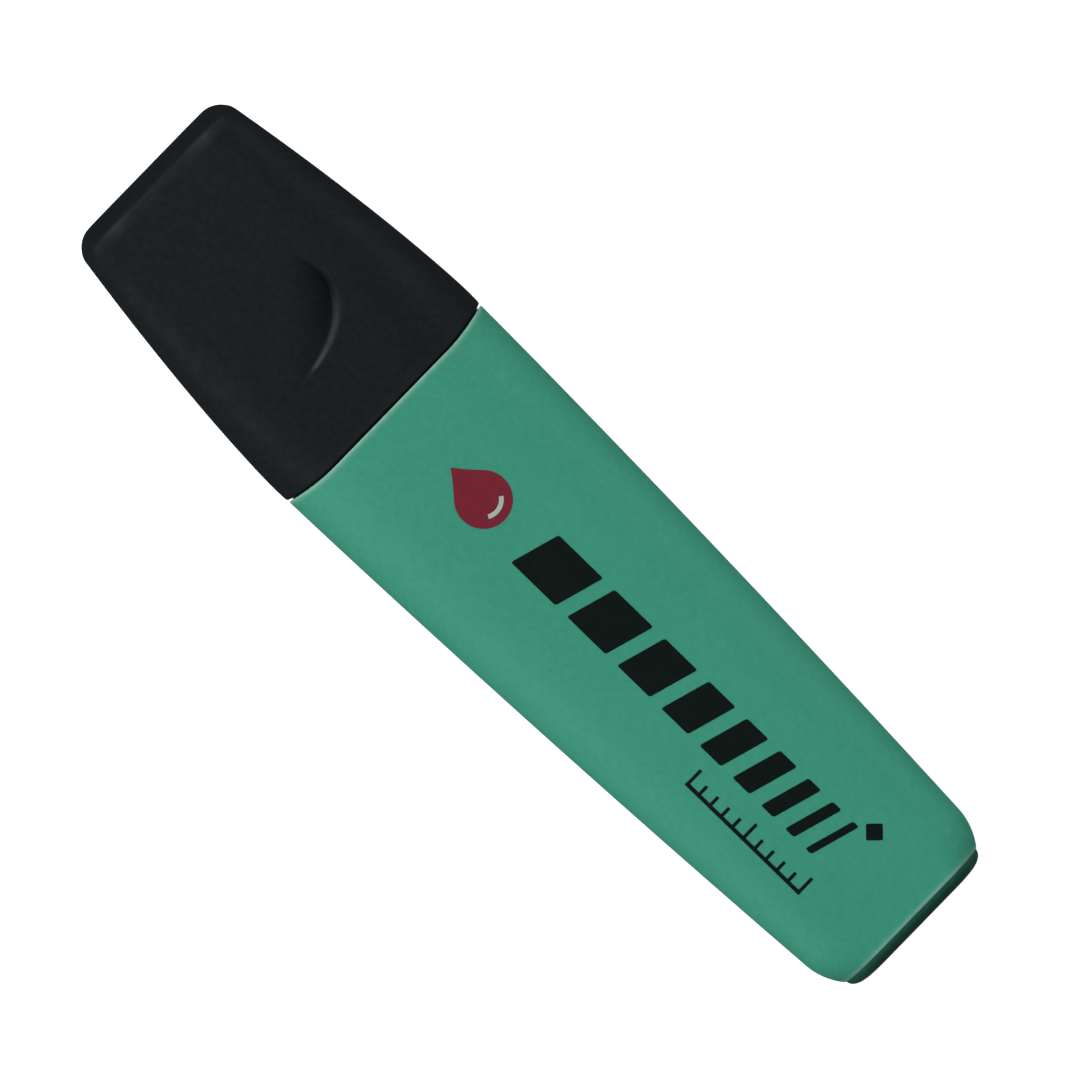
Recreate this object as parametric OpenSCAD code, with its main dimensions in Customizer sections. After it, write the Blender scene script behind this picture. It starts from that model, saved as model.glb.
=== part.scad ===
// Flat-barrelled highlighter with a pull-off cap, a chisel nib and a fibre ink reservoir.
// It lies on its back face: +X runs along the pen from tail to nib, +Z is the printed face,
// and the origin is the bottom centre of the capped pen's box. Millimetres.

/* [Pen] */
// Overall length with the cap on
pen_l = 105; // [87:0.5:130]
// Width at the seam between barrel and cap
body_w = 26.75; // [22.25:0.25:34]
// Thickness at the seam
body_t = 17; // [14:0.5:21]
// Part of the length that the cap covers
cap_l = 33.4; // [27.5:0.1:40]

/* [Tail] */
// Width that the barrel's sides run to at the tail, before its corners
tail_w = 20.7; // [17:0.1:25]
// Thickness at the tail
tail_t = 12.6; // [10.5:0.1:15.2]
// Outward bow of each barrel side
barrel_bow = 0.38; // [0:0.01:0.8]
// Radius of the barrel's tail corners, seen from the front
tail_corner_r = 6.5; // [4.5:0.1:9]
// Length over which those corners turn in
tail_corner_l = 3.9; // [2:0.1:4.4]

/* [Cap] */
// Width that the cap's sides run to at its end, before its corners
cap_end_w = 20.2; // [16.5:0.1:25]
// Thickness that the cap's faces run to at its end
cap_end_t = 9.6; // [8:0.1:12]
// Outward bow of each cap side
cap_side_bow = 0.71; // [0:0.01:0.9]
// Place of that bow: 1 is mid-length, and less is nearer the seam
cap_bow_skew = 0.78; // [0.6:0.02:1]
// Outward bow of each cap face
cap_face_bow = 0.53; // [0.1:0.01:0.8]
// Radius of the cap's end corners, seen from the front
cap_corner_r = 2.2; // [1:0.1:3.5]
// Radius of the cap's domed end, seen from the side
cap_dome_r = 8; // [6.5:0.5:14]

/* [Cross-section] */
// Corner reach across the width, at the seam
seam_corner_w = 9.5; // [5:0.1:11]
// Corner reach across the width, at the tail
tail_corner_w = 4.1; // [2:0.1:7]
// Corner reach across the width, at the cap's end
end_corner_w = 3.3; // [2:0.1:6]
// Corner reach through the thickness, at the seam
seam_corner_t = 8; // [4:0.1:8.5]
// Corner reach through the thickness, at the tail
tail_corner_t = 4.9; // [2:0.1:6]
// Corner reach through the thickness, at the cap's end
end_corner_t = 3.4; // [2:0.1:4]

/* [Walls] */
// Barrel wall
barrel_wall = 1.2; // [0.9:0.05:1.5]
// Cap wall round its mouth
cap_mouth_wall = 1.2; // [0.9:0.05:1.5]
// Cap wall past the mouth
cap_wall = 1.5; // [1.3:0.05:1.9]
// Nib section and end plug wall
section_wall = 1.1; // [0.8:0.05:1.4]
// Inner cap wall
inner_cap_wall = 0.8; // [0.6:0.05:1]
// Wall between the cap's cavity and its end face
cap_end_wall = 1.8; // [1.4:0.1:2.5]
// Rounded lip on the rims at the seam and the tail
lip_r = 0.2; // [0.1:0.05:0.4]

/* [Seam and collar] */
// Forward sweep of the seam at the pen's sides
seam_sweep = 0.9; // [0:0.1:1.4]
// Half-width over which the seam runs straight
seam_straight = 7.5; // [5:0.5:9]
// Gap between the rims of barrel and cap
seam_gap = 0.2; // [0.15:0.05:0.5]
// Depth of that groove, down to the section's flange
seam_inset = 0.45; // [0.35:0.05:0.8]
// Collar that the cap slides over
collar_l = 6.5; // [5:0.1:8]
// Spigot that the barrel's mouth grips
spigot_l = 9.5; // [8:0.1:12]

/* [Nib] */
// Nib width, which is the broad stroke
nib_w = 5; // [4:0.1:6]
// Nib thickness
nib_t = 3.8; // [3:0.1:4.6]
// Nib thickness at the writing edge
nib_edge_t = 1.9; // [1:0.1:2.5]
// Slant of the writing edge
nib_slant = 30; // [15:1:40]
// Rounding of the nib's long edges
nib_corner = 0.6; // [0.3:0.1:1]
// Length of nib that stands out of the section
nib_out = 5.8; // [4.5:0.1:7]
// Depth that the nib's tail reaches into the reservoir
nib_bite = 5; // [3:0.1:8]

/* [Reservoir] */
// Film wrapped round the fibre
film_t = 0.12; // [0.08:0.01:0.2]
// Depth of the cup that holds the reservoir's front
cup_l = 3; // [2:0.1:4]
// Diameter of the breather groove on each side of the nib
vent_d = 0.9; // [0.5:0.05:1]

/* [End plug] */
// Height of the plug outside the barrel
plug_h = 1.1; // [0.8:0.1:1.6]
// Width of the rounded edge round its end face
plug_edge_w = 1.7; // [0.8:0.1:2.2]
// Step from the barrel's outline to the plug's
plug_step = 0.1; // [0.05:0.05:0.3]
// Length of its spigot in the barrel
plug_spigot_l = 5; // [3:0.1:7]

/* [Thumb recess] */
// Radius of the recess
recess_r = 6.2; // [4:0.1:7]
// Greatest depth
recess_d = 0.9; // [0.4:0.05:1]
// Slope of its floor
recess_slope = 8.5; // [7:0.5:14]
// Direction of its deep side, from the axis
recess_turn = 52; // [30:1:70]
// Distance of its centre from the cap's end
recess_from_end = 19.3; // [15:0.1:21]
// Offset of its centre across the face
recess_offset = 1.3; // [0:0.1:3]

/* [Clearances] */
// Gap between parts that are pressed together
press_gap = 0.03; // [0.01:0.01:0.05]
// Radial gap of the sealing land in the inner cap
seal_gap = 0.04; // [0.01:0.01:0.08]
// Gap between the collar and the cap's mouth
slide_gap = 0.3; // [0.2:0.05:0.5]
// Gap between that collar and the cap's guide ribs
guide_gap = 0.08; // [0.05:0.01:0.15]
// Gap between the capped pen's flange and the cap's rim
rim_play = 0.05; // [0.02:0.01:0.1]
// Gap round the reservoir
reservoir_gap = 0.08; // [0.05:0.01:0.2]
// Gap between the fibre and its film
film_gap = 0.02; // [0.01:0.01:0.05]
// Gap past the nib's tip
tip_gap = 0.8; // [0.5:0.1:1.5]

/* [Hidden] */
$fn = 64;

corner_steps = 7;    // facets round each corner of a cross-section
barrel_steps = 8;    // cross-sections along the barrel
cap_steps = 8;       // cross-sections along the cap
arc_steps = 4;       // cross-sections round each rounded edge
least_corner = 0.6;  // smallest corner reach of a cross-section
overrun = 1;         // overshoot of a cutting solid
lead = 0.4;          // lead-in chamfer of a pressed or sliding part
sweep_l = 8;         // length over which the seam's sweep dies away on each side

// Stations along the pen
tail_x = -pen_l / 2;
nose_x = pen_l / 2;
seam_x = nose_x - cap_l;
rim_x = tail_x + plug_h;
cap_rim_x = seam_x + seam_gap;
barrel_l = seam_x - tail_x;
axis_z = body_t / 2;

// Outer form: half-width and half-thickness at a station, and the corner's reach there
cap_flat = 1.2;  // half-height of the flat on the cap's domed end
dome_x = nose_x - sqrt(cap_dome_r * cap_dome_r - cap_flat * cap_flat);
function mix(a, b, t) = a + (b - a) * t;
function bowed(a, b, bow, t, skew = 1) = mix(a, b, t) + bow * 4 * pow(t, skew) * (1 - pow(t, skew));
function chord(r, d) = sqrt(max(r * r - d * d, 0));
function arc_inset(r, d) = r - chord(r, d);
function on_cap(x) = x > seam_x;
function share(x) = on_cap(x) ? (x - seam_x) / cap_l : (seam_x - x) / barrel_l;
function tail_inset(x) = arc_inset(tail_corner_r, max(0, rim_x + tail_corner_l - x));
function nose_inset(x) = arc_inset(cap_corner_r, max(0, x - nose_x + cap_corner_r));
function half_w(x) = on_cap(x)
    ? bowed(body_w / 2, cap_end_w / 2, cap_side_bow, share(x), cap_bow_skew) - nose_inset(x)
    : bowed(body_w / 2, tail_w / 2, barrel_bow, share(x)) - tail_inset(x);
function face_t(x) = bowed(body_t / 2, cap_end_t / 2, cap_face_bow, share(x));
function half_t(x) = on_cap(x)
    ? min(face_t(x), x > dome_x ? chord(cap_dome_r, x - dome_x) : body_t)
    : mix(body_t / 2, tail_t / 2, share(x));
function corner_w(x) = mix(seam_corner_w, on_cap(x) ? end_corner_w : tail_corner_w, share(x));
function corner_t(x) = mix(seam_corner_t, on_cap(x) ? end_corner_t : tail_corner_t, share(x));

// One cross-section as a ring of points: a flat-sided oval with elliptical corners
function oval(x, a, b, ca, cb) = [
    for (q = [0:3], i = [0:corner_steps])
        let (t = 90 * (q + i / corner_steps),
             sy = (q == 0 || q == 3) ? 1 : -1,
             sz = (q < 2) ? 1 : -1)
        [x, sy * (a - ca) + ca * cos(t), axis_z + sz * (b - cb) + cb * sin(t)]
];
// How far the seam's sweep carries a point forward
function sweep(x, y) = seam_sweep
    * pow(max(0, abs(y) - seam_straight) / (body_w / 2 - seam_straight), 2)
    * pow(max(0, 1 - max(0, abs(x - seam_x) - seam_gap) / sweep_l), 2);
// The outer form's cross-section at station s, moved in by off and drawn at x
function ring_at(x, s, off) =
    let (a = half_w(s) - off, b = half_t(s) - off)
    [for (p = oval(x, a, b, min(a - least_corner, max(least_corner, corner_w(s) - off)),
                   min(b - least_corner, max(least_corner, corner_t(s) - off))))
        p + [sweep(x, p[1]), 0, 0]];
function ring(x, off) = ring_at(x, x, off);
function spread(a, b, n) = [for (i = [0:n]) mix(a, b, i / n)];

// Solid through a list of rings, from low x to high x
module loft(rings) {
    n = len(rings[0]);
    m = len(rings);
    end = (m - 1) * n;
    polyhedron(
        points = [for (r = rings, p = r) p],
        faces = concat(
            [for (i = [0:n / 2 - 2]) [i, i + 1, n - 2 - i, n - 1 - i]],
            [for (j = [0:m - 2], i = [0:n - 1]) let (k = (i + 1) % n)
                [j * n + i, (j + 1) * n + i, (j + 1) * n + k]],
            [for (j = [0:m - 2], i = [0:n - 1]) let (k = (i + 1) % n)
                [j * n + i, (j + 1) * n + k, j * n + k]],
            [for (i = [0:n / 2 - 2]) [end + n - 1 - i, end + n - 2 - i, end + i + 1, end + i]]),
        convexity = 6);
}

// Solid of revolution on the pen's axis, from [x, radius] points
module turned(profile) {
    translate([0, 0, axis_z])
        rotate([0, 90, 0])
            rotate_extrude()
                polygon([for (p = profile) [p[1], p[0]]]);
}

// Plate on the pen's axis: from x0 to x1, w across and t thick
module axis_plate(x0, x1, w, t) {
    translate([x0, -w / 2, axis_z - t / 2])
        cube([x1 - x0, w, t]);
}

// ---- Fits inside the pen ----
spigot_x = seam_x - spigot_l;
collar_x = cap_rim_x + collar_l;
flange_x0 = seam_x + press_gap;
flange_x = cap_rim_x - rim_play;
spigot_off = barrel_wall + press_gap;
collar_off = cap_mouth_wall + slide_gap;
plug_x = rim_x + plug_spigot_l;

film_r = tail_t / 2 - barrel_wall - reservoir_gap;
fibre_r = film_r - film_t - film_gap;
res_x0 = plug_x + 1;
res_x1 = spigot_x + cup_l;

liner_x0 = collar_x + 1;
liner_x1 = nose_x - cap_end_wall - press_gap;
liner_in_x1 = liner_x1 - inner_cap_wall;
function liner_out_r(x) = half_t(x) - cap_wall - press_gap;
function liner_in_r(x) = liner_out_r(x) - inner_cap_wall;

nib_x1 = liner_in_x1 - tip_gap;
nib_x0 = res_x1 - nib_bite;
snout_x = nib_x1 - nib_out;
neck_x = mix(collar_x, snout_x, 0.5);
seal_r = liner_in_r(neck_x) - seal_gap;
snout_wall = 0.7;
snout_r = min(norm([nib_w / 2 - nib_corner, nib_t / 2 - nib_corner]) + nib_corner + snout_wall,
    liner_in_r(snout_x) - slide_gap);

// ---- Barrel ----
module barrel_form() {
    function lip(d) = arc_inset(lip_r, max(0, lip_r - d));
    lip_stations = [for (i = [0:arc_steps]) lip_r * (1 - cos(90 * i / arc_steps))];
    loft(concat(
        [for (d = lip_stations) ring(rim_x + d, lip(d))],
        [for (x = spread(rim_x + 2 * lip_r, rim_x + tail_corner_l, arc_steps)) ring(x, 0)],
        [for (x = spread(rim_x + tail_corner_l + 2, seam_x - 2 * lip_r, barrel_steps)) ring(x, 0)],
        [for (i = [arc_steps:-1:0]) ring(seam_x - lip_stations[i], lip(lip_stations[i]))]));
}
module barrel_bore() {
    loft(concat(
        [ring_at(rim_x - overrun, rim_x, barrel_wall)],
        [for (x = spread(rim_x, rim_x + tail_corner_l, arc_steps)) ring(x, barrel_wall)],
        [for (x = spread(rim_x + tail_corner_l + 2, seam_x, barrel_steps)) ring(x, barrel_wall)],
        [ring_at(seam_x + overrun, seam_x, barrel_wall)]));
}
// Ribs inside the barrel's sides, which centre the reservoir
rib_t = 1;
module barrel_ribs() {
    difference() {
        axis_plate(res_x0 + 5, spigot_x - 5, body_w, rib_t);
        axis_plate(res_x0, spigot_x, 2 * (film_r + reservoir_gap), 2 * rib_t);
    }
}
module barrel() {
    color([0.22, 0.55, 0.45])
        difference() {
            barrel_form();
            difference() {
                barrel_bore();
                barrel_ribs();
            }
        }
}

// ---- End plug ----
// Its spigot fills the barrel's mouth, and crossed ribs stop the reservoir's back end
module end_plug() {
    rib_in = 0.3;
    color([0.16, 0.42, 0.34]) {
        difference() {
            loft(concat(
                [for (i = [arc_steps:-1:0]) let (t = 90 * i / arc_steps)
                    ring_at(rim_x - plug_h * sin(t), rim_x, plug_step + plug_edge_w * (1 - cos(t)))],
                [ring(rim_x, spigot_off),
                 ring(plug_x - lead, spigot_off),
                 ring(plug_x, spigot_off + lead)]));
            loft([ring(rim_x + section_wall, spigot_off + section_wall),
                  ring(plug_x, spigot_off + section_wall),
                  ring_at(plug_x + overrun, plug_x, spigot_off + section_wall)]);
        }
        axis_plate(rim_x, res_x0 - press_gap, 2 * fibre_r, rib_t);
        axis_plate(rim_x, res_x0 - press_gap, rib_t, 2 * (half_t(rim_x) - spigot_off - lead - rib_in));
    }
}

// ---- Nib section ----
// Spigot pressed into the barrel, flange between the rims, collar for the cap, sealing neck, snout
module nib_section() {
    tube_r = film_r + reservoir_gap + section_wall;
    bead_l = 1.6;
    bead_h = 0.35;
    color([0.13, 0.14, 0.15])
        difference() {
            union() {
                loft([ring(spigot_x, spigot_off + lead),
                      ring(spigot_x + lead, spigot_off),
                      ring_at(flange_x0, seam_x, spigot_off),
                      ring_at(flange_x0, seam_x, seam_inset),
                      ring_at(flange_x, seam_x, seam_inset),
                      ring_at(flange_x, seam_x + rim_play, collar_off),
                      ring(mix(flange_x, collar_x, 0.5), collar_off),
                      ring(collar_x - lead, collar_off),
                      ring(collar_x, collar_off + lead)]);
                turned([[collar_x - section_wall / 2, 0],
                        [collar_x - section_wall / 2, seal_r - bead_h],
                        [neck_x - bead_l, seal_r - bead_h],
                        [neck_x - bead_l * 0.7, seal_r],
                        [neck_x - bead_l * 0.3, seal_r],
                        [neck_x, seal_r - bead_h],
                        [neck_x, snout_r + lead],
                        [snout_x - lead, snout_r],
                        [snout_x, snout_r - lead],
                        [snout_x, 0]]);
            }
            // hollow, open at the back, round the tube that holds the reservoir
            difference() {
                loft([ring_at(spigot_x - overrun, spigot_x, spigot_off + section_wall),
                      ring(spigot_x, spigot_off + section_wall),
                      ring(seam_x, spigot_off + section_wall),
                      ring(collar_x - section_wall, collar_off + section_wall)]);
                turned([[spigot_x - 2 * overrun, 0],
                        [spigot_x - 2 * overrun, tube_r],
                        [res_x1 + section_wall, tube_r],
                        [collar_x, seal_r - bead_h],
                        [collar_x, 0]]);
            }
            turned([[spigot_x - overrun, 0],
                    [spigot_x - overrun, film_r + reservoir_gap],
                    [res_x1 + press_gap, film_r + reservoir_gap],
                    [res_x1 + press_gap, 0]]);
            nib_prism(res_x1 - overrun, snout_x + overrun, press_gap);
            // breather grooves beside the nib
            for (side = [-1, 1])
                translate([res_x1, side * nib_w / 2, axis_z])
                    rotate([0, 90, 0])
                        cylinder(h = pen_l, d = vent_d);
        }
}

// ---- Nib ----
// The nib's own cross-section, grown by grow, from x0 to x1
function nib_ring(x, narrow_w, narrow_t, grow) =
    oval(x, nib_w / 2 - narrow_w + grow, nib_t / 2 - narrow_t + grow, nib_corner + grow, nib_corner + grow);
module nib_prism(x0, x1, grow) {
    loft([nib_ring(x0, 0, 0, grow), nib_ring(x1, 0, 0, grow)]);
}
// Pointed tail that pushes into the fibre
module nib_tail(grow) {
    point_w = nib_w / 2 - nib_corner - 0.3;
    point_t = nib_t / 2 - nib_corner - 0.1;
    loft([nib_ring(nib_x0 - grow, point_w, point_t, grow),
          nib_ring(res_x1 - nib_bite * 0.3, 0, 0, grow),
          nib_ring(res_x1 + press_gap, 0, 0, grow)]);
}
module nib() {
    bevel = (nib_t - nib_edge_t) / 2;
    color([0.2, 0.72, 0.62])
        difference() {
            union() {
                nib_tail(0);
                loft([nib_ring(res_x1, 0, 0, 0),
                      nib_ring(snout_x + 0.5, 0, 0, 0),
                      nib_ring(nib_x1, 0, bevel, 0)]);
            }
            // slanted writing edge
            translate([nib_x1, nib_w / 2, 0])
                rotate([0, 0, -nib_slant])
                    translate([0, -2 * nib_w, 0])
                        cube([2 * nib_w, 4 * nib_w, body_t]);
        }
}

// ---- Reservoir ----
module reservoir_fibre() {
    color([0.62, 0.86, 0.72])
        difference() {
            turned([[res_x0, 0], [res_x0, fibre_r], [res_x1, fibre_r], [res_x1, 0]]);
            nib_tail(press_gap);
        }
}
module reservoir_film() {
    color([0.85, 0.88, 0.88])
        turned([[res_x0, fibre_r + film_gap], [res_x0, film_r], [res_x1, film_r],
                [res_x1, fibre_r + film_gap]]);
}

// ---- Cap ----
module cap_form() {
    function lip(d) = arc_inset(lip_r, max(0, lip_r - d));
    lip_stations = [for (i = [0:arc_steps]) lip_r * (1 - cos(90 * i / arc_steps))];
    end_l = max(cap_corner_r, 2);
    loft(concat(
        [for (d = lip_stations) ring(cap_rim_x + d, lip(d))],
        [for (x = spread(cap_rim_x + 2 * lip_r, nose_x - end_l - 0.3, cap_steps)) ring(x, 0)],
        [for (x = spread(nose_x - end_l, nose_x, 3 * arc_steps)) ring(x, 0)]));
}
module cap_bore() {
    mouth_x = collar_x + 0.5;
    deep_x = nose_x - cap_end_wall;
    loft(concat(
        [ring_at(cap_rim_x - overrun, cap_rim_x, cap_mouth_wall)],
        [for (x = spread(cap_rim_x, mouth_x, 3)) ring(x, cap_mouth_wall)],
        [for (x = spread(mouth_x + 0.5, deep_x - 0.01, cap_steps)) ring(x, cap_wall)]));
}
// Pads that guide the mouth on the collar, and webs that hold the inner cap's front
module cap_ribs() {
    pad_x0 = cap_rim_x + 1;
    pad_l = 3;
    pad_w = 1.2;
    pad_y = 2.2;
    pad_off = collar_off - guide_gap;
    for (turn = [0, 180])
        translate([0, 0, axis_z])
            rotate([turn, 0, 0]) {
                for (side = [-1, 1])
                    translate([pad_x0, side * pad_y - pad_w / 2, half_t(pad_x0) - pad_off])
                        cube([pad_l, pad_w, cap_mouth_wall]);
                translate([pad_x0, half_w(pad_x0) - pad_off, -pad_w / 2])
                    cube([pad_l, cap_mouth_wall, pad_w]);
                translate([snout_x, liner_out_r(snout_x) + press_gap, -rib_t / 2])
                    cube([nose_x - snout_x, body_w, rib_t]);
            }
}
module thumb_recess() {
    deep_x = nose_x - recess_from_end - recess_r * cos(recess_turn);
    floor_h = half_t(deep_x) - recess_d + recess_r * sin(recess_slope);
    translate([nose_x - recess_from_end, recess_offset, floor_h])
        rotate([0, 0, 180 + recess_turn])
            rotate([0, recess_slope, 0])
                cylinder(h = body_t, r = recess_r);
}
module cap_shell() {
    color([0.11, 0.12, 0.13])
        difference() {
            cap_form();
            difference() {
                cap_bore();
                cap_ribs();
            }
            for (turn = [0, 180])
                translate([0, 0, axis_z])
                    rotate([turn, 0, 0])
                        thumb_recess();
        }
}

// ---- Inner cap ----
// Sleeve, closed at its front, that seals on the section's neck
module inner_cap() {
    stations = spread(liner_x0, liner_x1, cap_steps);
    in_stations = spread(liner_x0, liner_in_x1, cap_steps);
    color([0.2, 0.21, 0.22])
        turned(concat(
            [for (x = stations) [x, liner_out_r(x)]],
            [[liner_x1, 0], [liner_in_x1, 0]],
            [for (i = [cap_steps:-1:0]) [in_stations[i], liner_in_r(in_stations[i])]]));
}

barrel();
end_plug();
nib_section();
nib();
reservoir_fibre();
reservoir_film();
cap_shell();
inner_cap();
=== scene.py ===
import math

import bmesh
import bpy
import numpy as np
from mathutils import Matrix, Vector


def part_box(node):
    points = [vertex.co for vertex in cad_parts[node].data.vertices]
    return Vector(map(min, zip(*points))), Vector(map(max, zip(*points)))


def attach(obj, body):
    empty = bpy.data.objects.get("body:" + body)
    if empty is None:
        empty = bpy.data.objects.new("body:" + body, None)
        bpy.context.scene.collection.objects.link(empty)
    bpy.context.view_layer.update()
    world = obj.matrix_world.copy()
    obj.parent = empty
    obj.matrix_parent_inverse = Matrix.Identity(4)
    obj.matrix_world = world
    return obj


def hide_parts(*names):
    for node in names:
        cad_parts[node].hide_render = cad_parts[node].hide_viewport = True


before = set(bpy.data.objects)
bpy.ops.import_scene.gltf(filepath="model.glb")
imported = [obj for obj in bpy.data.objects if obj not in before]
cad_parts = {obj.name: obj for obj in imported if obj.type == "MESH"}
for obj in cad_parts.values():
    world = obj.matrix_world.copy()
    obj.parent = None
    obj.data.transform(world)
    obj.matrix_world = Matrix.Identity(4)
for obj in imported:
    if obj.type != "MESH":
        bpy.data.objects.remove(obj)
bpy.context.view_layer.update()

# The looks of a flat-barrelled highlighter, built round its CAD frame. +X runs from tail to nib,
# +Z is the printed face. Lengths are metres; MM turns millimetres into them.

MM = 0.001

# ---- Sizes, read from the frame ----
barrel_lo, barrel_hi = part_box("barrel")
plug_lo, plug_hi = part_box("end_plug")
cap_lo, cap_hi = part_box("cap_shell")

tail_x = plug_lo.x        # end of the plug
rim_x = barrel_lo.x       # tail rim of the barrel
cap_rim_x = cap_lo.x      # mouth of the cap
seam_gap = 0.2 * MM
seam_x = cap_rim_x - seam_gap   # front rim of the barrel, at mid-width
nose_x = cap_hi.x         # end of the cap
axis_z = (barrel_lo.z + barrel_hi.z) / 2
barrel_l = seam_x - tail_x
cap_l = nose_x - seam_x

# ---- Outer form: the same curves as the CAD source ----
seam_half = (13.375 * MM, 8.5 * MM)
tail_half = (10.35 * MM, 6.3 * MM)
nose_half = (10.1 * MM, 4.8 * MM)
barrel_bow = 0.38 * MM
cap_bow = (0.71 * MM, 0.53 * MM)
cap_bow_skew = 0.78      # under 1, the bow of the cap's sides is fullest nearer the seam
seam_corner = (9.5 * MM, 8 * MM)
tail_corner = (4.1 * MM, 4.9 * MM)
nose_corner = (3.3 * MM, 3.4 * MM)
tail_turn_r, tail_turn_l = 6.5 * MM, 3.9 * MM
nose_turn_r = 2.2 * MM
dome_r = 8 * MM
dome_flat = 1.2 * MM
dome_x = nose_x - math.sqrt(dome_r**2 - dome_flat**2)
barrel_wall = 1.2 * MM
cap_wall = 1.5 * MM
cap_end_wall = 1.8 * MM
mouth_wall = 1.2 * MM
lip_r = 0.2 * MM
seam_sweep = 0.9 * MM    # how far the seam is swept forward at the pen's sides
seam_straight = 7.5 * MM  # half-width over which it runs straight
sweep_l = 8 * MM         # length over which the sweep dies away
ridge_r = 0.2 * MM       # softness of the ridge where the cap's end dome starts
least_corner = 0.5 * MM


def mix(a, b, t):
    return a + (b - a) * t


def chord(r, d):
    return math.sqrt(max(r * r - d * d, 0.0))


def turned_in(r, d):
    """How far an arc of radius r has come in, at d past its start."""
    return r - chord(r, max(d, 0.0))


def smooth_min(a, b, k):
    h = min(max(0.5 + (b - a) / (2 * k), 0.0), 1.0)
    return mix(b, a, h) - k * h * (1 - h)


def step(a, b, x):
    """0 below a, 1 above b and smooth between; takes arrays."""
    t = np.clip((x - a) / (b - a), 0, 1)
    return t * t * (3 - 2 * t)


def bell(distance, reach):
    """1 at no distance, fading over reach on both sides; takes arrays."""
    return np.exp(-((distance / reach) ** 2))


def form_at(x):
    """Half-width, half-thickness and the corner's reach in both directions."""
    if x > seam_x:
        t = (x - seam_x) / cap_l
        skewed = t ** cap_bow_skew
        w = mix(seam_half[0], nose_half[0], t) + cap_bow[0] * 4 * skewed * (1 - skewed)
        h = mix(seam_half[1], nose_half[1], t) + cap_bow[1] * 4 * t * (1 - t)
        w -= turned_in(nose_turn_r, x - nose_x + nose_turn_r)
        if x > dome_x:
            h = smooth_min(h, chord(dome_r, x - dome_x), ridge_r)
        reach = [mix(a, b, t) for a, b in zip(seam_corner, nose_corner)]
    else:
        t = (seam_x - x) / barrel_l
        w = mix(seam_half[0], tail_half[0], t) + barrel_bow * 4 * t * (1 - t)
        w -= turned_in(tail_turn_r, rim_x + tail_turn_l - x)
        h = mix(seam_half[1], tail_half[1], t)
        reach = [mix(a, b, t) for a, b in zip(seam_corner, tail_corner)]
    return w, h, reach[0], reach[1]


def face_height(x, y):
    """Height of the upper face over the pen's axis."""
    w, h, cw, ch = form_at(x)
    past = max(abs(y) - (w - cw), 0.0) / cw
    return h - ch + ch * math.sqrt(max(1 - past * past, 0.0))


def rim_sweep(y):
    """How far the rims at the seam are swept forward, at an array of places across the pen."""
    past = np.maximum(np.abs(y) - seam_straight, 0) / (seam_half[0] - seam_straight)
    return seam_sweep * past**2


def ring(x, inset, counts, at=None):
    """One cross-section of the form at x, moved in by inset and drawn at x or at."""
    w, h, cw, ch = form_at(x)
    w, h = w - inset, h - inset
    cw = min(w - least_corner, max(least_corner, cw - inset))
    ch = min(h - least_corner, max(least_corner, ch - inset))
    side, bend, face = counts
    quarter = [(w, (h - ch) * i / side) for i in range(side)]
    quarter += [(w - cw + cw * math.cos(a), h - ch + ch * math.sin(a))
                for a in (math.pi / 2 * i / bend for i in range(bend))]
    quarter += [((w - cw) * (1 - i / face), h) for i in range(face)]
    yz = np.array(quarter + [(0.0, h)])
    half = np.concatenate([yz, (yz * (-1, 1))[-2::-1]])
    full = np.concatenate([half, (half * (1, -1))[-2:0:-1]])
    drawn = x if at is None else at
    fade = max(0.0, 1 - max(0.0, abs(drawn - seam_x) - seam_gap) / sweep_l)
    return np.hstack([drawn + rim_sweep(full[:, :1]) * fade**2, full[:, :1], full[:, 1:] + axis_z])


def rise(r, count):
    """Distances and insets round a quarter of radius r, from its foot to its shoulder."""
    angles = np.linspace(0, math.pi / 2, count)
    return [(r * (1 - math.cos(a)), r * (1 - math.sin(a))) for a in angles]


# ---- Meshes ----
def finish_mesh(obj, sharp=38):
    """Weld, turn the faces outward, shade smooth and keep real edges crisp."""
    bm = bmesh.new()
    bm.from_mesh(obj.data)
    bmesh.ops.remove_doubles(bm, verts=bm.verts, dist=1e-6)
    bmesh.ops.recalc_face_normals(bm, faces=bm.faces)
    for f in bm.faces:
        f.smooth = True
    for e in bm.edges:
        e.smooth = e.calc_face_angle(0.0) < math.radians(sharp)
    bm.to_mesh(obj.data)
    bm.free()
    obj.data.update()
    return obj


def new_piece(name, points, faces, sharp=38):
    mesh = bpy.data.meshes.new(name)
    mesh.from_pydata([tuple(p) for p in points], [], faces)
    obj = bpy.data.objects.new(name, mesh)
    bpy.context.scene.collection.objects.link(obj)
    return finish_mesh(obj, sharp)


def skin(rings, loop=False, first=False, last=False, start=0):
    """Points and faces of a surface through rings of equal length."""
    n, m = len(rings[0]), len(rings)
    faces = []
    for j in range(m if loop else m - 1):
        a, b = start + j * n, start + ((j + 1) % m) * n
        faces += [(a + i, a + (i + 1) % n, b + (i + 1) % n, b + i) for i in range(n)]
    if first:
        faces.append([start + i for i in range(n)])
    if last:
        faces.append([start + (m - 1) * n + i for i in range(n)])
    return list(np.concatenate(rings)), faces


def dress(obj, body, look, slot, *nodes):
    obj.data.materials.append(look)
    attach(obj, body)
    if nodes:
        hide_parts(*nodes)
    return obj


# ---- Shader wiring ----
def tone(r, g, b):
    """A colour given in display values of 0 to 255, as the renderer wants it."""
    lin = [c / 255 / 12.92 if c <= 10 else ((c / 255 + 0.055) / 1.055) ** 2.4 for c in (r, g, b)]
    return (*lin, 1.0)


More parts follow.
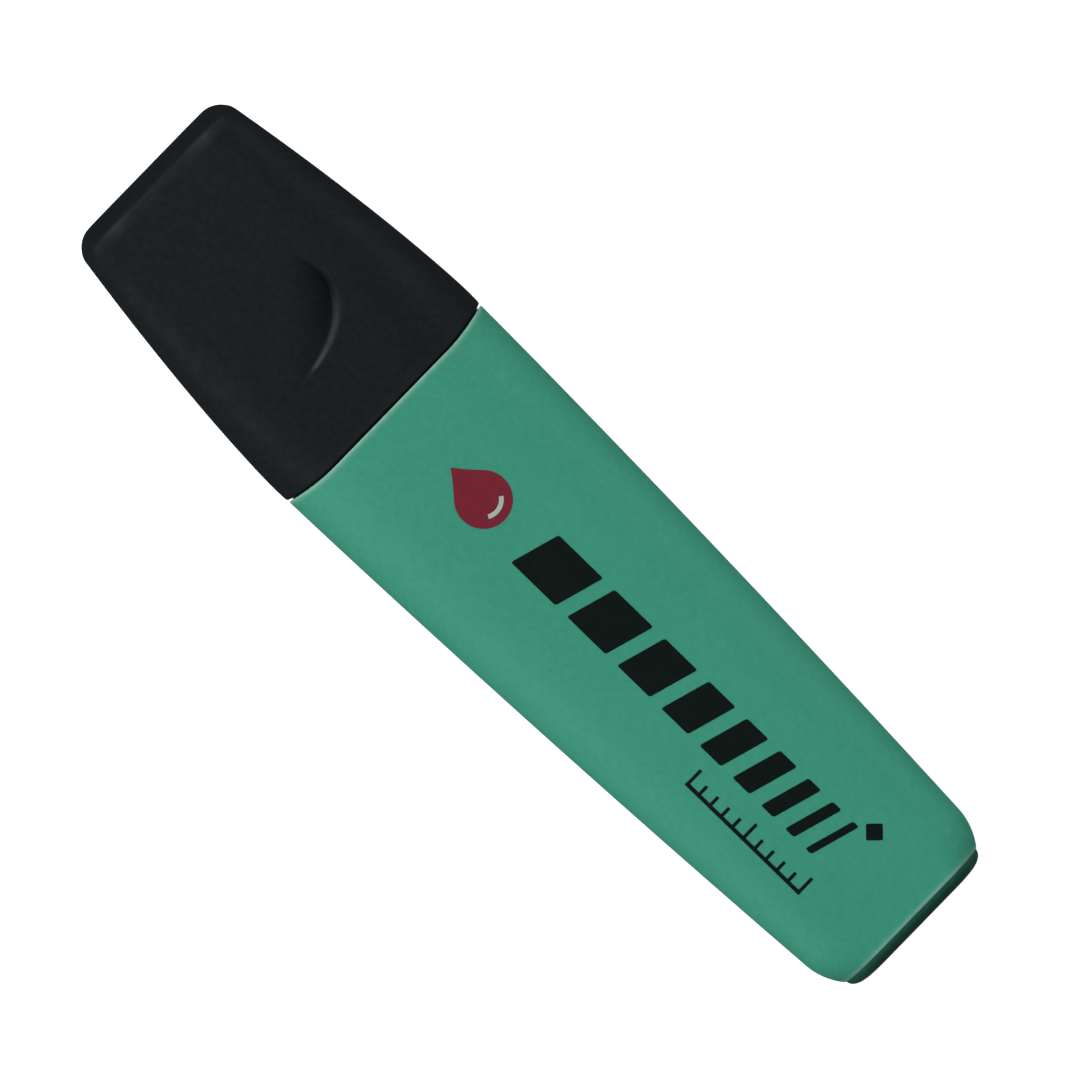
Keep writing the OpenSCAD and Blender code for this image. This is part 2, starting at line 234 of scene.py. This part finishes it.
class Value:
    """A shader output that takes part in ordinary arithmetic."""

    def __init__(self, look, socket):
        self.look, self.socket = look, socket

    def _with(self, operation, a, b):
        return self.look.node("Math", {"operation": operation}, {0: a, 1: b})

    def __add__(self, other):
        return self._with("ADD", self, other)

    def __sub__(self, other):
        return self._with("SUBTRACT", self, other)

    def __rsub__(self, other):
        return self._with("SUBTRACT", other, self)

    def __mul__(self, other):
        return self._with("MULTIPLY", self, other)

    __radd__ = __add__
    __rmul__ = __mul__

    def between(self, low, high, to_low=0.0, to_high=1.0):
        """Smooth step from to_low at low to to_high at high."""
        return self.look.node("MapRange", {"interpolation_type": "SMOOTHSTEP"},
                              {"Value": self, "From Min": low, "From Max": high,
                               "To Min": to_low, "To Max": to_high})


class Look:
    """A material being wired round one principled shader."""

    def __init__(self, name, **constants):
        self.material = bpy.data.materials.new(name)
        self.material.use_nodes = True
        self.tree = self.material.node_tree
        self.shader = self.tree.nodes["Principled BSDF"]
        for key, value in constants.items():
            self.shader.inputs[key.replace("_", " ")].default_value = value
        self.place = self.node("TexCoord", output="Object")

    def node(self, kind, settings=None, inputs=None, output=0):
        made = self.tree.nodes.new("ShaderNode" + kind)
        for key, value in (settings or {}).items():
            setattr(made, key, value)
        for key, value in (inputs or {}).items():
            self.feed(made.inputs[key], value)
        return Value(self, made.outputs[output])

    def feed(self, socket, value):
        if isinstance(value, Value):
            self.tree.links.new(value.socket, socket)
        else:
            socket.default_value = value

    def blend(self, share, a, b):
        """Colour a at share 0, colour b at share 1."""
        return self.node("Mix", {"data_type": "RGBA"}, {0: share, 6: a, 7: b}, output=2)

    def stretched(self, x, y, z):
        """The piece's own coordinates, scaled along each axis."""
        return self.node("VectorMath", {"operation": "MULTIPLY"}, {0: self.place, 1: (x, y, z)})

    def noise(self, scale, detail, rough=0.55, where=None):
        return self.node("TexNoise", inputs={"Vector": where or self.place, "Scale": scale,
                                             "Detail": detail, "Roughness": rough})

    def cells(self, scale):
        return self.node("TexVoronoi", {"feature": "F1"}, {"Vector": self.place, "Scale": scale})

    def mark(self, name):
        """A value that the mesh code wrote on the piece."""
        return self.node("Attribute", {"attribute_name": name}, output="Fac")

    def bump(self, height, depth):
        return self.node("Bump", inputs={"Height": height, "Distance": depth, "Strength": 1.0})

    def paint(self, colour, roughness, normal=None):
        for key, value in (("Base Color", colour), ("Roughness", roughness), ("Normal", normal)):
            if value is not None:
                self.feed(self.shader.inputs[key], value)
        return self.material


# ---- Looks ----
pebble_deep = 0.008 * MM     # height of the moulded skin's fine pebble
hollow_shade = 0.25          # how much of its colour plastic keeps in the painted shade at the bottom of a hollow


def shaded(colour):
    """The colour of painted shade deep in a hollow."""
    return (*(hollow_shade * c for c in colour[:3]), 1.0)


def moulded_look(name, base, paler, darker, worn_and_lit, shine=0.55, specular=0.15):
    """Satin moulded plastic: a slow drift of colour, a fine mottle, a pebbled skin, painted shade in
    hollows, and pale wear on edges that also stands as painted highlights.
    """
    look = Look(name, Specular_IOR_Level=specular)
    drift = look.noise(38, 2).between(0.3, 0.7)
    mottle = look.noise(1500, 4, 0.65).between(0.3, 0.72)
    edge = look.mark("edge")
    colour = look.blend(drift * 0.35, base, darker)
    colour = look.blend(mottle * 0.3, colour, paler)
    # painted shade: darker towards the bottom of the cap's thumb recess
    colour = look.blend(look.mark("hollow") * 0.75, colour, shaded(darker))
    # painted highlight: paler colour and less roughness where the edge mark is high, mixed with wear
    wear_and_highlight = edge * look.noise(900, 3).between(0.2, 0.6, 0.55, 1.0)
    colour = look.blend(wear_and_highlight, colour, worn_and_lit)
    rough = look.noise(420, 3).between(0.25, 0.75, shine - 0.05, shine + 0.06)
    pebble = look.cells(3600) * 0.5 + look.noise(2600, 4, 0.6)
    return look.paint(colour, rough - wear_and_highlight * 0.15, look.bump(pebble, pebble_deep))


def ink_look(name, base, thin):
    """Printed ink, satin and a little uneven."""
    look = Look(name, Specular_IOR_Level=0.15)
    cover = look.noise(2400, 4, 0.7).between(0.35, 0.8)
    streak = look.noise(700, 2, 0.5, look.stretched(0.2, 1.6, 1)).between(0.4, 0.75)
    colour = look.blend(cover * 0.3 + streak * 0.15, base, thin)
    return look.paint(colour, look.noise(900, 2).between(0.3, 0.7, 0.48, 0.6),
                      look.bump(cover, 0.01 * MM))


def fibre_look(name, base, wet, streak_scale):
    """Pressed fibre that runs along the pen, soaked with ink."""
    look = Look(name, Specular_IOR_Level=0.25)
    along = look.stretched(0.05, 1, 1)
    strands = look.noise(streak_scale, 4, 0.6, along)
    soak = look.noise(260, 3).between(0.35, 0.7)
    colour = look.blend(strands.between(0.3, 0.7), wet, base)
    colour = look.blend(soak * 0.4, colour, wet)
    return look.paint(colour, soak * -0.12 + 0.78, look.bump(strands, 0.12 * MM))


def film_look(name, base):
    """Thin glossy film with fine creases."""
    look = Look(name, Specular_IOR_Level=0.5)
    crease = look.noise(900, 3, 0.5, look.stretched(0.3, 1, 1))
    colour = look.blend(crease.between(0.4, 0.7) * 0.3, base, tone(190, 205, 200))
    return look.paint(colour, crease.between(0.3, 0.7, 0.2, 0.32), look.bump(crease, 0.03 * MM))


# the last colour of each plastic is its pale wear, which also paints highlights on edges
green_look = moulded_look("barrel_green", tone(69, 170, 141), tone(90, 188, 160),
                          tone(60, 160, 131), tone(150, 206, 186))
# painted shade: the plug is the barrel's green made darker, as its end lies away from the light
plug_shaded_look = moulded_look("plug_green", tone(32, 93, 76), tone(52, 116, 97),
                         tone(27, 84, 68), tone(56, 122, 103))
cap_look = moulded_look("cap_dark", tone(26, 31, 34), tone(42, 48, 52),
                        tone(21, 26, 29), tone(82, 85, 85), specular=0.07)
section_look = moulded_look("section_dark", tone(24, 27, 29), tone(42, 46, 48),
                            tone(19, 22, 24), tone(52, 56, 58), shine=0.45)
dark_ink = ink_look("dark_ink", tone(6, 20, 15), tone(14, 36, 28))
red_ink = ink_look("red_ink", tone(134, 40, 56), tone(146, 56, 70))
pale_ink = ink_look("pale_ink", tone(196, 214, 204), tone(170, 200, 186))
nib_look = fibre_look("nib_fibre", tone(70, 196, 160), tone(28, 150, 118), 2600)
reservoir_look = fibre_look("reservoir_fibre", tone(150, 214, 186), tone(84, 178, 146), 1700)
wrap_look = film_look("reservoir_film", tone(216, 224, 222))


def write_mark(obj, name, values):
    layer = obj.data.attributes.new(name, "FLOAT", "POINT")
    layer.data.foreach_set("value", np.asarray(values, np.float32))


def points_of(obj):
    co = np.zeros(len(obj.data.vertices) * 3)
    obj.data.vertices.foreach_get("co", co)
    return co.reshape(-1, 3)


def mark_rim_wear_and_highlight(obj, *rims, reach=0.34 * MM):
    """Paint pale wear and a painted highlight on the rims: 1 at each rim, fading over reach. The seam's
    rims are swept.
    """
    x, y, _ = points_of(obj).T
    near = []
    for rim in rims:
        swept = rim_sweep(y) if rim == seam_x else 0
        near.append(bell(x - swept - rim, reach))
    write_mark(obj, "edge", np.max(near, axis=0))


# ---- Barrel ----
# points of a ring on half a side, round a corner and on half a face
barrel_counts = (3, 14, 7)
cap_counts = (3, 16, 42)


def rings_at(stations, inset, counts):
    return [ring(x, inset, counts) for x in stations]


def build_barrel():
    lips = rise(lip_r, 6)
    turn_x = rim_x + tail_turn_l
    past_turn_x = turn_x + MM
    out = [ring(rim_x + d, off, barrel_counts) for d, off in lips]
    out += rings_at(np.linspace(rim_x + 1.5 * lip_r, turn_x, 20), 0, barrel_counts)
    out += rings_at(np.linspace(past_turn_x, seam_x - 2 * MM, 28), 0, barrel_counts)
    out += rings_at(np.linspace(seam_x - 1.6 * MM, seam_x - 1.5 * lip_r, 10), 0, barrel_counts)
    out += [ring(seam_x - d, off, barrel_counts) for d, off in reversed(lips)]
    back = rings_at(np.linspace(seam_x, past_turn_x, 12), barrel_wall, barrel_counts)
    back += rings_at(np.linspace(turn_x, rim_x, 6), barrel_wall, barrel_counts)
    obj = new_piece("barrel_body", *skin(out + back, loop=True))
    mark_rim_wear_and_highlight(obj, rim_x, seam_x)
    return dress(obj, "pen", green_look, "barrel_plastic", "barrel")


# ---- End plug ----
plug_edge_w = 1.7 * MM       # width of the rounded edge round its end face
plug_step = 0.1 * MM         # step from the barrel's outline to the plug's
plug_lead = 0.4 * MM         # chamfer on the end of its spigot
press_gap = 0.03 * MM


def build_plug():
    height = rim_x - tail_x
    spigot = barrel_wall + press_gap
    spigot_end = plug_hi.x - 4 * plug_lead
    rings = [ring(rim_x, plug_step + plug_edge_w * (1 - math.cos(a)), barrel_counts,
                  rim_x - height * math.sin(a))
             for a in np.linspace(math.pi / 2, 0, 12)]
    rings += [ring(rim_x, spigot, barrel_counts, rim_x + 0.02 * MM),
              ring(spigot_end - plug_lead, spigot, barrel_counts),
              ring(spigot_end, spigot + plug_lead, barrel_counts)]
    obj = new_piece("tail_plug", *skin(rings, first=True, last=True))
    mark_rim_wear_and_highlight(obj, tail_x)
    return dress(obj, "pen", plug_shaded_look, "plug_plastic", "end_plug")


# ---- Cap ----
recess_deep = 0.9 * MM
recess_span = 5.2 * MM       # from the steep wall's crown back to where the floor comes out
recess_curve = 2.2           # how much faster the floor falls as it nears the wall
recess_turn = math.radians(51.9)
recess_crown = (16.7 * MM, 15.3 * MM)   # the wall's deepest point: across the wall, and along it
recess_wall_w = 0.5 * MM
recess_tight, recess_loose = 0.028, 0.077   # how fast the wall curves away on each side of it
face_over_axis = 3 * MM      # past this height over or under the axis, a point is on a wide face

# the painted highlight streak on the recess's wall, placed along it from the crown
streak_starts = (-2.2 * MM, 2.6 * MM)   # where it comes up
streak_ends = (5.6 * MM, 6.7 * MM)      # where it dies away
streak_grows = (3 * MM, 5 * MM)         # where it goes from its lesser strength to its greater
streak_highlight = (0.56, 0.75)
streak_w, streak_w_fall = 0.44 * MM, 0.03   # its width at the crown, and how fast that narrows
streak_w_least, streak_w_most = 0.27 * MM, 0.5 * MM

ridge_x = nose_x - 2.05 * MM  # the ridge where the end dome starts
ridge_w = 0.28 * MM
ridge_half_y = 9 * MM
ridge_bright_y = 6 * MM      # the ridge's painted highlight is strongest this far either side of the middle
ridge_bright_w = 1.5 * MM
ridge_highlight, mouth_wear = 0.36, 0.15


def recess_wall(x, y):
    """Distance past the recess's steep wall, towards its middle, and place along that wall."""
    from_end, right = nose_x - x, -y
    deep = right * math.sin(recess_turn) + from_end * math.cos(recess_turn)
    along = from_end * math.sin(recess_turn) - right * math.cos(recess_turn) - recess_crown[1]
    tight = recess_tight * MM * np.abs(along / MM) ** 3
    loose = recess_loose * MM * (along / MM) ** 2
    wall = recess_crown[0] - np.where(along < 0, tight, loose)
    return wall - deep, along, deep


def recess_depth(x, y):
    """Depth of the crescent thumb recess under the upper face, at arrays x and y."""
    within, along, deep = recess_wall(x, y)
    floor = np.clip(1 - (recess_crown[0] - deep) / recess_span, 0, 1.1) ** recess_curve
    return recess_deep * floor * step(-recess_wall_w / 2, recess_wall_w / 2, within)


def on_wide_face(z):
    return np.abs(z - axis_z) >= face_over_axis


def press_recess(points):
    """Sink the recess into both wide faces; the lower one is the upper turned half round."""
    upper = points[:, 2] > axis_z
    x, y = points[:, 0], np.where(upper, points[:, 1], -points[:, 1])
    depth = recess_depth(x, y) * on_wide_face(points[:, 2])
    points[:, 2] -= np.where(upper, depth, -depth)


def mark_cap(obj):
    """Painted highlights on the recess's steep wall and on the ridge round the end dome, faint wear at
    the mouth, and painted shade in the recess.
    """
    x, y, z = points_of(obj).T
    side = np.where(z > axis_z, y, -y)
    on_face = on_wide_face(z)
    within, along, _ = recess_wall(x, side)
    # painted highlight streak along the recess's wall
    lit = step(*streak_starts, along) * (1 - step(*streak_ends, along))
    lit *= mix(*streak_highlight, step(*streak_grows, along))
    reach = np.clip(streak_w - streak_w_fall * along, streak_w_least, streak_w_most)
    wall = bell(within, reach) * lit * on_face
    # painted shade, set by the recess's depth
    write_mark(obj, "hollow", recess_depth(x, side) / recess_deep * on_face)
    ends = mix(0.3, 1.0, bell(np.abs(y) - ridge_bright_y, ridge_bright_w))
    # painted highlight along the ridge
    ridge = ridge_highlight * bell(x - ridge_x, ridge_w) * ends * (np.abs(y) < ridge_half_y)
    mouth = mouth_wear * np.exp(-np.abs(x - cap_rim_x) / (0.3 * MM))
    write_mark(obj, "edge", np.max([wall, ridge, mouth], axis=0))


def cap_stations():
    """Stations along the cap's skin, close together across the recess."""
    recess_start, recess_end = nose_x - 27 * MM, nose_x - 15 * MM
    dense = np.arange(recess_start, recess_end, 0.13 * MM)
    before = np.linspace(cap_rim_x + 2 * lip_r, recess_start, 24)[:-1]
    after = np.linspace(recess_end, nose_x - nose_turn_r, 14)[:-1]
    turn = nose_x - nose_turn_r * (1 - np.sin(np.linspace(0, math.pi / 2, 26)))
    return np.concatenate([before, dense, after, turn])


groove_x = cap_rim_x + 1.1 * MM
groove_deep, groove_w = 0.02 * MM, 0.12 * MM
mouth_l, mouth_step_l = 7 * MM, 0.5 * MM


def rim_groove(x):
    """A faint line moulded round the cap, just behind its mouth."""
    return groove_deep * bell(x - groove_x, groove_w)


def build_cap():
    """The outer skin with its recesses, joined at the mouth to the bore."""
    out = [ring(cap_rim_x + d, off, cap_counts) for d, off in rise(lip_r, 6)]
    out += [ring(x, rim_groove(x), cap_counts) for x in cap_stations()]
    outer_points, faces = skin(out, last=True)
    points = np.array(outer_points)
    press_recess(points)
    mouth_x = cap_rim_x + mouth_l
    deep_x = nose_x - cap_end_wall - 0.01 * MM
    mouth = rings_at(np.linspace(cap_rim_x, mouth_x, 5), mouth_wall, cap_counts)
    bore = rings_at(np.linspace(mouth_x + mouth_step_l, deep_x, 12), cap_wall, cap_counts)
    n = len(out[0])
    bore_points, bore_faces = skin(mouth + bore, last=True, start=len(points))
    faces += bore_faces
    faces += [(i, (i + 1) % n, len(points) + (i + 1) % n, len(points) + i) for i in range(n)]
    obj = new_piece("cap_body", list(points) + bore_points, faces, sharp=60)
    mark_cap(obj)
    return dress(obj, "cap", cap_look, "cap_plastic", "cap_shell")


# ---- Pieces that keep their CAD shape, with softened edges ----
def softened(node, name, width, sharp=30):
    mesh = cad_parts[node].data.copy()
    mesh.name = name
    mesh.materials.clear()
    obj = bpy.data.objects.new(name, mesh)
    bpy.context.scene.collection.objects.link(obj)
    bm = bmesh.new()
    bm.from_mesh(mesh)
    bmesh.ops.remove_doubles(bm, verts=bm.verts, dist=1e-6)
    bmesh.ops.dissolve_limit(bm, angle_limit=math.radians(1), verts=bm.verts, edges=bm.edges)
    bm.to_mesh(mesh)
    bm.free()
    bevel = obj.modifiers.new("soft_edges", "BEVEL")
    bevel.width = width
    bevel.segments = 2
    bevel.limit_method = "ANGLE"
    bevel.angle_limit = math.radians(sharp)
    bpy.context.view_layer.update()
    made = bpy.data.meshes.new_from_object(obj.evaluated_get(bpy.context.evaluated_depsgraph_get()))
    obj.modifiers.clear()
    obj.data = made
    return finish_mesh(obj)


def build_section():
    obj = softened("nib_section", "nib_holder", 0.1 * MM)
    return dress(obj, "pen", section_look, "section_plastic", "nib_section")


def build_inner_cap():
    obj = softened("inner_cap", "cap_liner", 0.08 * MM)
    return dress(obj, "cap", section_look, "inner_cap_plastic", "inner_cap")


def build_nib():
    obj = softened("nib", "chisel_nib", 0.12 * MM)
    return dress(obj, "pen", nib_look, "nib_fibre", "nib")


def build_reservoir():
    core = softened("reservoir_fibre", "ink_fibre", 0.1 * MM)
    dress(core, "pen", reservoir_look, "reservoir_fibre", "reservoir_fibre")
    wrap = softened("reservoir_film", "fibre_film", 0.02 * MM)
    dress(wrap, "pen", wrap_look, "reservoir_film", "reservoir_film")


# ---- Printed marks ----
ink_t = 0.018 * MM
bar_top, bar_low = 2.5 * MM, -2.6 * MM
bar_lean = 1.5 * MM          # how far each bar slants towards the tail
bar_gap = 1.55 * MM
bar_corner_r = 0.28 * MM
bar_widths = (6.0, 5.2, 4.4, 3.6, 2.9, 2.3, 1.7, 1.2, 0.8)   # from broad to fine, in millimetres
first_bar_x = nose_x - 52 * MM
drop_x, drop_r = nose_x - 45.9 * MM, 2.85 * MM
drop_tip_x = drop_x + 4.45 * MM
glint_outer_r, glint_inner_r = 1.95 * MM, 1.5 * MM
scale_start_x, scale_end_x = nose_x - 79 * MM, nose_x - 94.4 * MM
scale_y = 6 * MM
scale_half_w = 0.2 * MM      # half the width of its long line
tick_half_w = 0.17 * MM
tick_count = 11
long_tick, short_tick = 1.9 * MM, 1.2 * MM
diamond_x, diamond_y, diamond_r = nose_x - 95.4 * MM, -3.3 * MM, 1.15 * MM


def printed(name, outlines, ink, lift=0.0):
    """Thin ink shapes lying on the barrel's upper face, from closed (x, y) outlines."""
    points, faces = [], []
    for outline in outlines:
        first, n = len(points), len(outline)
        for down in (0.0, 3 * ink_t):
            points += [(x, y, axis_z + face_height(x, y) + ink_t + lift - down) for x, y in outline]
        faces += [tuple(range(first, first + n)), tuple(range(first + 2 * n - 1, first + n - 1, -1))]
        faces += [(first + i, first + n + i, first + n + (i + 1) % n, first + (i + 1) % n)
                  for i in range(n)]
    return dress(new_piece(name, points, faces), "pen", ink, "barrel_plastic")


def rounded(corners, r, steps=5):
    """A closed outline through corners, each cut to an arc-like curve of size r."""
    out = []
    n = len(corners)
    for i in range(n):
        a, b, c = (Vector(corners[(i + k) % n]) for k in (-1, 0, 1))
        p, q = b + (a - b).normalized() * r, b + (c - b).normalized() * r
        for s in range(steps + 1):
            t = s / steps
            out.append(tuple(p * (1 - t) ** 2 + b * 2 * t * (1 - t) + q * t * t))
    return out


def rectangle(x0, x1, y0, y1, r):
    return rounded([(x0, y0), (x1, y0), (x1, y1), (x0, y1)], r)


def arc(r, start, end, count):
    """Points round the middle of the drop, from start to end in degrees."""
    angles = np.radians(np.linspace(start, end, count))
    return [(drop_x + r * math.cos(a), r * math.sin(a)) for a in angles]


def print_bars():
    """Stroke samples: slanted bars that step down from broad to fine."""
    x = first_bar_x
    bars = []
    for width in bar_widths:
        w = width * MM
        corners = [(x, bar_top), (x - w, bar_top), (x - w - bar_lean, bar_low), (x - bar_lean, bar_low)]
        bars.append(rounded(corners, bar_corner_r))
        x -= w + bar_gap
    printed("stroke_bars", bars, dark_ink)


def print_drop():
    """A drop of ink with a pale glint."""
    drop = arc(drop_r, 52, 308, 40)
    shoulders = [(mix(x, drop_tip_x, 0.6), y * 0.36) for x, y in (drop[-1], drop[0])]
    printed("ink_drop", [drop + [shoulders[0], (drop_tip_x, 0.0), shoulders[1]]], red_ink)
    glint = arc(glint_outer_r, 150, 235, 14) + arc(glint_inner_r, 235, 150, 14)
    printed("drop_glint", [glint], pale_ink, lift=ink_t)


def print_scale():
    """A short scale without numbers."""
    marks = [rectangle(scale_start_x, scale_end_x, scale_y + scale_half_w, scale_y - scale_half_w,
                       0.08 * MM)]
    for i in range(tick_count):
        x = mix(scale_start_x - scale_half_w, scale_end_x + scale_half_w, i / (tick_count - 1))
        length = long_tick if i % 5 == 0 else short_tick
        marks.append(rectangle(x + tick_half_w, x - tick_half_w, scale_y, scale_y - length, 0.06 * MM))
    printed("fine_scale", marks, dark_ink)


def print_diamond():
    x, y, r = diamond_x, diamond_y, diamond_r
    outline = rounded([(x + r, y), (x, y + r), (x - r, y), (x, y - r)], 0.2 * MM)
    printed("small_diamond", [outline], dark_ink)


build_barrel()
build_plug()
build_cap()
build_section()
build_inner_cap()
build_nib()
build_reservoir()
print_bars()
print_drop()
print_scale()
print_diamond()


# ---- Floor, light and camera ----
world_light = 0.1
floor_glow = 0.85
lamp_distance = 1.6
floor_drop = 0.02 * MM       # how far the floor lies under the pen
white = (1, 1, 1, 1)
# each lamp: azimuth from the nib's direction, elevation, width and power
lamps = (("key", 10, 50, 1.1, 11.5), ("left", 80, 20, 1.0, 11.0), ("right", -80, 20, 1.0, 9.5))


def build_stage():
    floor_z = min(barrel_lo.z, cap_lo.z) - floor_drop
    bpy.ops.mesh.primitive_plane_add(size=4, location=(0, 0, floor_z))
    floor = bpy.context.object
    floor.name = "floor"
    look = Look("pale_floor", Specular_IOR_Level=0.1, Emission_Color=white,
                Emission_Strength=floor_glow)
    floor.data.materials.append(look.paint(tone(247, 247, 247), 0.9))
    floor.visible_diffuse = floor.visible_glossy = False

    world = bpy.data.worlds.new("studio")
    bpy.context.scene.world = world
    world.use_nodes = True
    background = world.node_tree.nodes["Background"]
    background.inputs["Color"].default_value = white
    background.inputs["Strength"].default_value = world_light

    for name, azimuth, elevation, size, power in lamps:
        a, e = math.radians(azimuth), math.radians(elevation)
        where = Vector((math.cos(a) * math.cos(e), math.sin(a) * math.cos(e), math.sin(e)))
        lamp = bpy.data.lights.new(name, "AREA")
        lamp.shape, lamp.size, lamp.energy = "DISK", size, power
        obj = bpy.data.objects.new(name, lamp)
        obj.location = where * lamp_distance + Vector((0, 0, axis_z))
        obj.rotation_mode = "QUATERNION"
        obj.rotation_quaternion = where.to_track_quat("Z", "Y")
        bpy.context.scene.collection.objects.link(obj)


def build_camera():
    """Straight over the pen, with its cap at the upper left."""
    lean = math.radians(0.5)
    turn = math.radians(135.8)
    across = 105.15 * MM         # width of the view at the pen's axis
    aim = Vector((-0.1 * MM, -1.0 * MM, axis_z))
    cam = bpy.data.cameras.new("camera")
    cam.lens, cam.sensor_width = 300, 36
    obj = bpy.data.objects.new("camera", cam)
    back = Vector((math.sin(lean), 0, math.cos(lean)))
    right = Vector((math.cos(-turn), math.sin(-turn), 0))
    up = back.cross(right).normalized()
    right = up.cross(back).normalized()
    pose = Matrix((right, up, back)).transposed().to_4x4()
    distance = across * cam.lens / cam.sensor_width
    pose.translation = aim + back * distance
    obj.matrix_world = pose
    cam.clip_end = 4 * distance
    bpy.context.scene.collection.objects.link(obj)
    bpy.context.scene.camera = obj


build_stage()
build_camera()
bpy.context.scene.view_settings.view_transform = "Standard"
